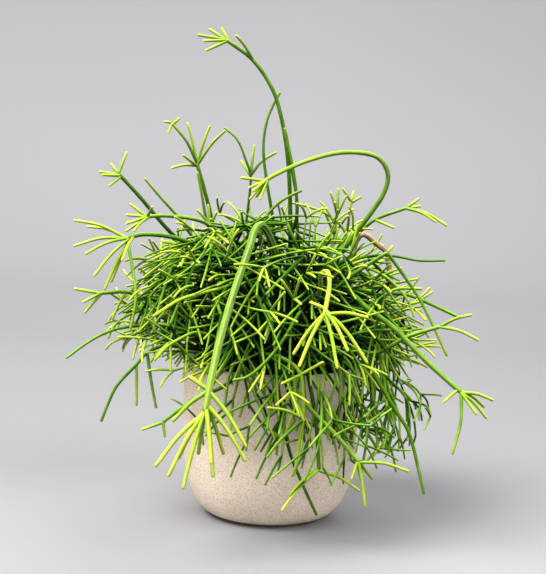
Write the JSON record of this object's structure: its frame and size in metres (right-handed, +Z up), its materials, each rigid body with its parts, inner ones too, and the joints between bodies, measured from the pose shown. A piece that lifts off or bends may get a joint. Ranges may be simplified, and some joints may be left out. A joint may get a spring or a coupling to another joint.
{
  "type": "potted mistletoe cactus",
  "caption": "Mistletoe cactus with long thin branching stems, some arching high and some trailing over the rim, growing in a round stoneware pot that stands on its flat foot.",
  "frame": {"origin": "centre of the pot's foot, on its flat underside", "axes": "+Z up out of the pot, -Y toward the front of the plant, +X to the right of its front"},
  "size_m": [0.2959, 0.2412, 0.3544],
  "materials": {
    "stoneware": "matte sand-beige stoneware with fine grain and small dark specks",
    "soil": "dark crumbly potting soil",
    "bark": "brown dry bark of an old stem",
    "stem": "smooth satin green stems, yellow-green at the young tips"
  },
  "bodies": {
    "root": {"pot": "stoneware", "soil": "soil", "shoot_woody": "bark", "shoot_sky": "stem", "shoot_bow": "stem", "shoot_hoop": "stem", "shoot_front": "stem", "shoot_left_fan": "stem", "shoot_left_crest": "stem", "shoot_left_rise": "stem", "shoot_fork": "stem", "shoot_crook": "stem", "shoot_right_wing": "stem", "shoot_right_finger": "stem", "shoot_right_drop": "stem", "shoot_right_reach": "stem", "shoot_right_pair": "stem", "shoot_right_back": "stem", "shoot_right_tail": "stem", "shoot_front_right": "stem", "shoot_front_low": "stem", "shoot_front_tail": "stem", "shoot_bright_fan": "stem", "shoot_mid_low": "stem", "shoot_left_low": "stem", "shoot_left_droop": "stem", "shoot_left_front": "stem", "shoot_left_mid": "stem", "shoot_bright_bow": "stem", "clump_01": "stem", "clump_02": "stem", "clump_03": "stem", "clump_04": "stem", "clump_05": "stem", "clump_06": "stem", "clump_07": "stem", "clump_08": "stem", "clump_09": "stem", "clump_10": "stem", "clump_11": "stem", "clump_12": "stem", "clump_13": "stem", "clump_14": "stem", "clump_15": "stem", "clump_16": "stem", "clump_17": "stem", "clump_18": "stem", "clump_19": "stem", "clump_20": "stem", "clump_21": "stem", "clump_22": "stem", "clump_23": "stem", "clump_24": "stem", "clump_25": "stem", "clump_26": "stem", "clump_27": "stem", "clump_28": "stem", "clump_29": "stem", "clump_30": "stem", "clump_31": "stem"}
  },
  "joints": []
}
